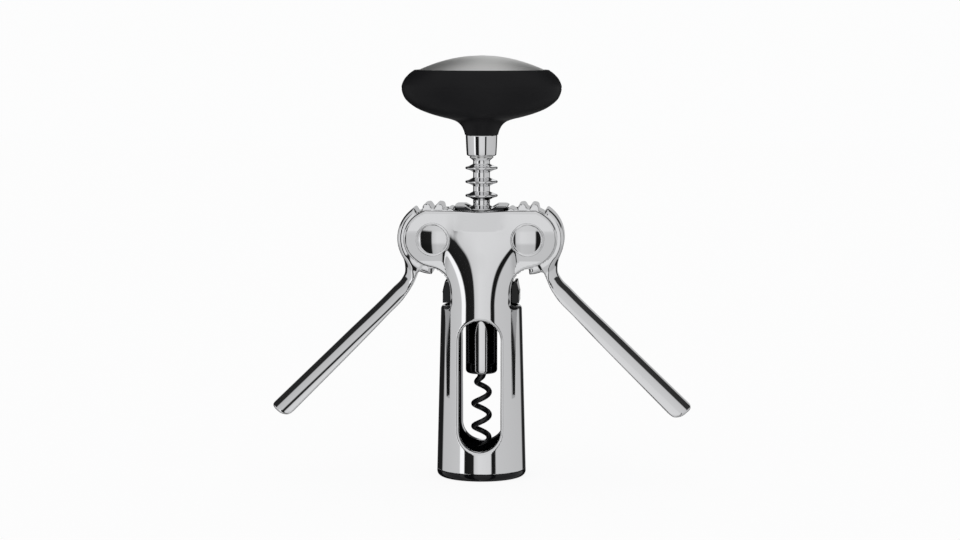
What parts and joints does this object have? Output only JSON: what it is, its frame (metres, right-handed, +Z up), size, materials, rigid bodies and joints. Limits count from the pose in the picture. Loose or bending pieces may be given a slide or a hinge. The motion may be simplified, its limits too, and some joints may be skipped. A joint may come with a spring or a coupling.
{
  "type": "wing corkscrew",
  "caption": "Wing corkscrew: two geared levers mesh with a ring rack that lifts a worm through a tubular casting, with an oval soft-grip knob and a clip-on foil cutter.",
  "frame": {"origin": "centre of the base ring's lower face, in the middle of the part's width and depth", "axes": "+Z up along the worm's axis, -Y to the front, the levers open along +X and -X"},
  "size_m": [0.1916, 0.0408, 0.1929],
  "materials": {
    "chrome_casting": "polished chrome on a zinc casting",
    "chrome_lever": "polished chrome on zinc levers",
    "chrome_trim": "polished chrome",
    "steel_pin": "plain turned steel",
    "brushed_plate": "satin stainless steel",
    "black_plastic": "glossy black plastic",
    "knob_plastic": "plain moulded plastic",
    "soft_grip": "soft matt black elastomer",
    "worm_coat": "black non-stick coating on steel"
  },
  "bodies": {
    "frame": {"body_casting": "chrome_casting", "base_ring": "black_plastic", "left_axle": "steel_pin", "right_axle": "steel_pin", "left_front_cap": "chrome_trim", "left_rear_cap": "chrome_trim", "right_front_cap": "chrome_trim", "right_rear_cap": "chrome_trim"},
    "left_arm": {"left_lever": "chrome_lever"},
    "right_arm": {"right_lever": "chrome_lever"},
    "rack": {"ring_rack": "chrome_trim", "upper_thrust_washer": "steel_pin", "lower_thrust_washer": "steel_pin"},
    "spindle": {"spindle_rod": "steel_pin", "worm_hub": "chrome_trim", "hub_pin": "steel_pin", "worm": "worm_coat", "ferrule": "chrome_trim", "knob_core": "knob_plastic", "knob_grip": "soft_grip", "knob_nut": "steel_pin", "knob_plate": "brushed_plate"},
    "foil_cutter": {"foil_cutter_frame": "black_plastic", "foil_wheel_pins": "steel_pin"},
    "wheel_1": {"foil_wheel_1": "steel_pin"},
    "wheel_2": {"foil_wheel_2": "steel_pin"},
    "wheel_3": {"foil_wheel_3": "steel_pin"},
    "wheel_4": {"foil_wheel_4": "steel_pin"}
  },
  "joints": [
    {"name": "left_lever_pivot", "type": "hinge", "parent": "frame", "child": "left_arm", "pos_m": [-0.0215, 0, 0.11], "axis": [0, 1, 0], "range_deg": [-30, 77]},
    {"name": "right_lever_pivot", "type": "hinge", "parent": "frame", "child": "right_arm", "pos_m": [0.0215, 0, 0.11], "axis": [0, -1, 0], "range_deg": [-30, 77]},
    {"name": "rack_slide", "type": "slide", "parent": "frame", "child": "rack", "axis": [0, 0, 1], "range_m": [-0.02151, 0.00839]},
    {"name": "knob_turn", "type": "hinge", "parent": "rack", "child": "spindle", "pos_m": [0, 0, 0.12], "axis": [0, 0, 1], "continuous": true},
    {"name": "foil_cutter_lift_off", "type": "slide", "parent": "frame", "child": "foil_cutter", "axis": [0, 1, 0], "range_m": [0, 0.04]},
    {"name": "wheel_1_spin", "type": "hinge", "parent": "foil_cutter", "child": "wheel_1", "pos_m": [-0.016, -0.0045, 0.0852], "axis": [0, 0, 1], "continuous": true},
    {"name": "wheel_2_spin", "type": "hinge", "parent": "foil_cutter", "child": "wheel_2", "pos_m": [-0.016, 0.0045, 0.0852], "axis": [0, 0, 1], "continuous": true},
    {"name": "wheel_3_spin", "type": "hinge", "parent": "foil_cutter", "child": "wheel_3", "pos_m": [0.016, -0.0045, 0.0852], "axis": [0, 0, 1], "continuous": true},
    {"name": "wheel_4_spin", "type": "hinge", "parent": "foil_cutter", "child": "wheel_4", "pos_m": [0.016, 0.0045, 0.0852], "axis": [0, 0, 1], "continuous": true}
  ],
  "couplings": [
    {"joint": "right_lever_pivot", "follows": "left_lever_pivot", "ratio": 1},
    {"joint": "rack_slide", "follows": "left_lever_pivot", "m_per_rad": -0.016}
  ]
}
